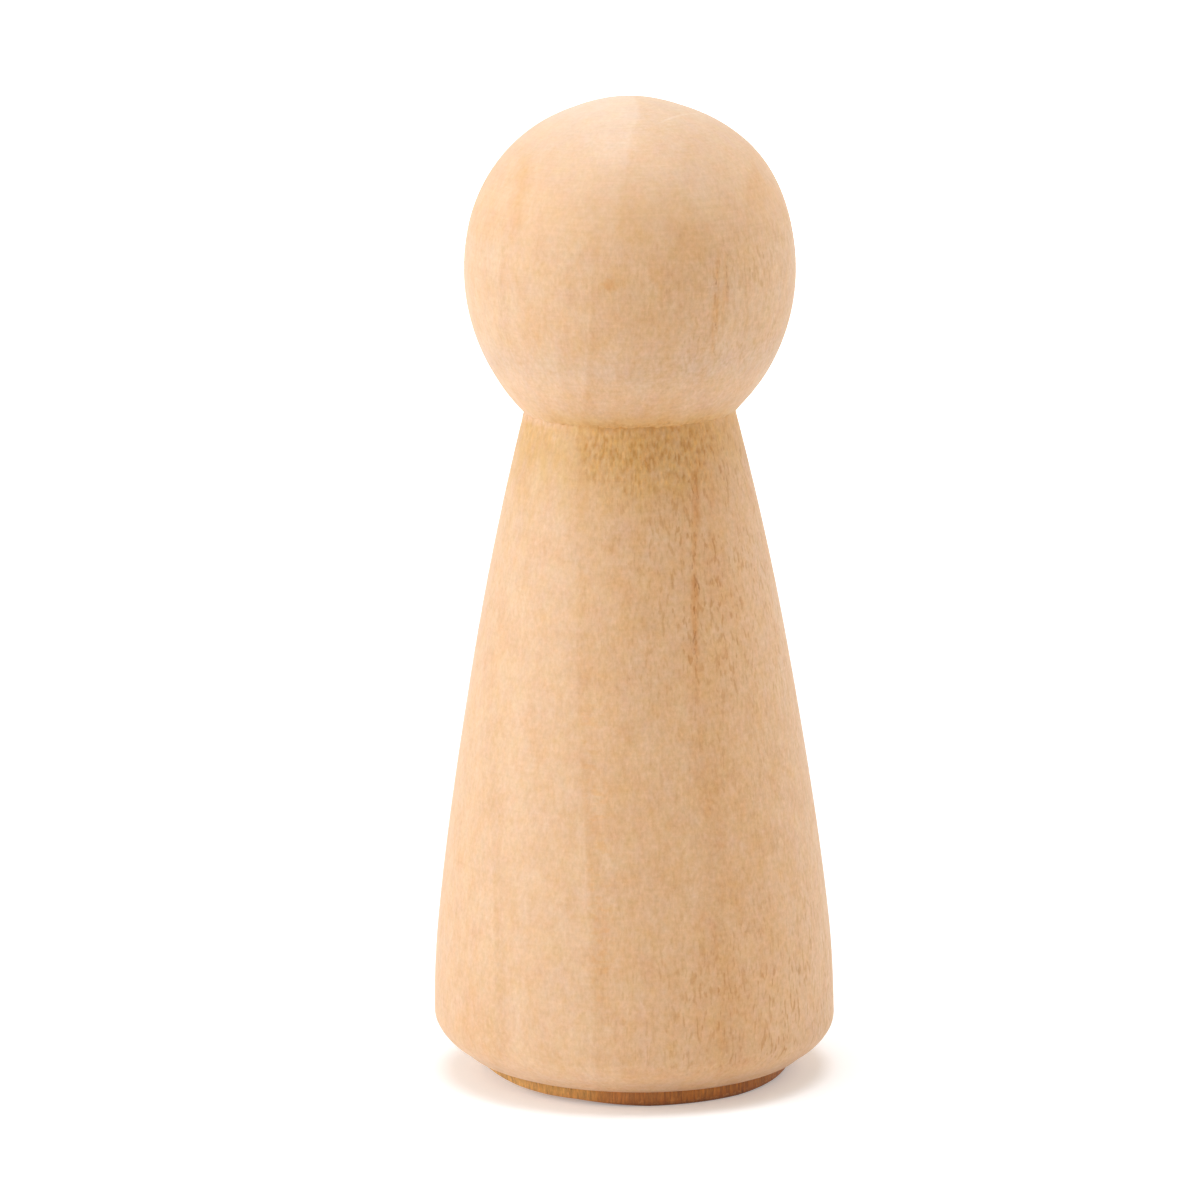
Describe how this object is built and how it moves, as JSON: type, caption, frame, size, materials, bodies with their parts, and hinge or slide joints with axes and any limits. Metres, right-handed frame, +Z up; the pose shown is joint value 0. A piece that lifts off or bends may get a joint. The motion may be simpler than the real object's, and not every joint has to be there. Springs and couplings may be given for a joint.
{
  "type": "peg doll",
  "caption": "Plain turned wooden peg doll: ball-shaped head and flared body of bare wood meeting at a pinched neck, on a low darker foot.",
  "frame": {"origin": "centre of the foot's flat underside, on the surface the doll stands on", "axes": "+Z up along the axis of the turning, from foot to crown; the doll is round, so X and Y are free, with the wood's growth rings lying across X"},
  "size_m": [0.0362, 0.0362, 0.089],
  "materials": {
    "bare_wood": "bare, sanded smooth",
    "scorched_wood": "browned by the parting tool"
  },
  "bodies": {
    "root": {"head": "bare_wood", "body": "bare_wood", "foot": "scorched_wood"}
  },
  "joints": []
}
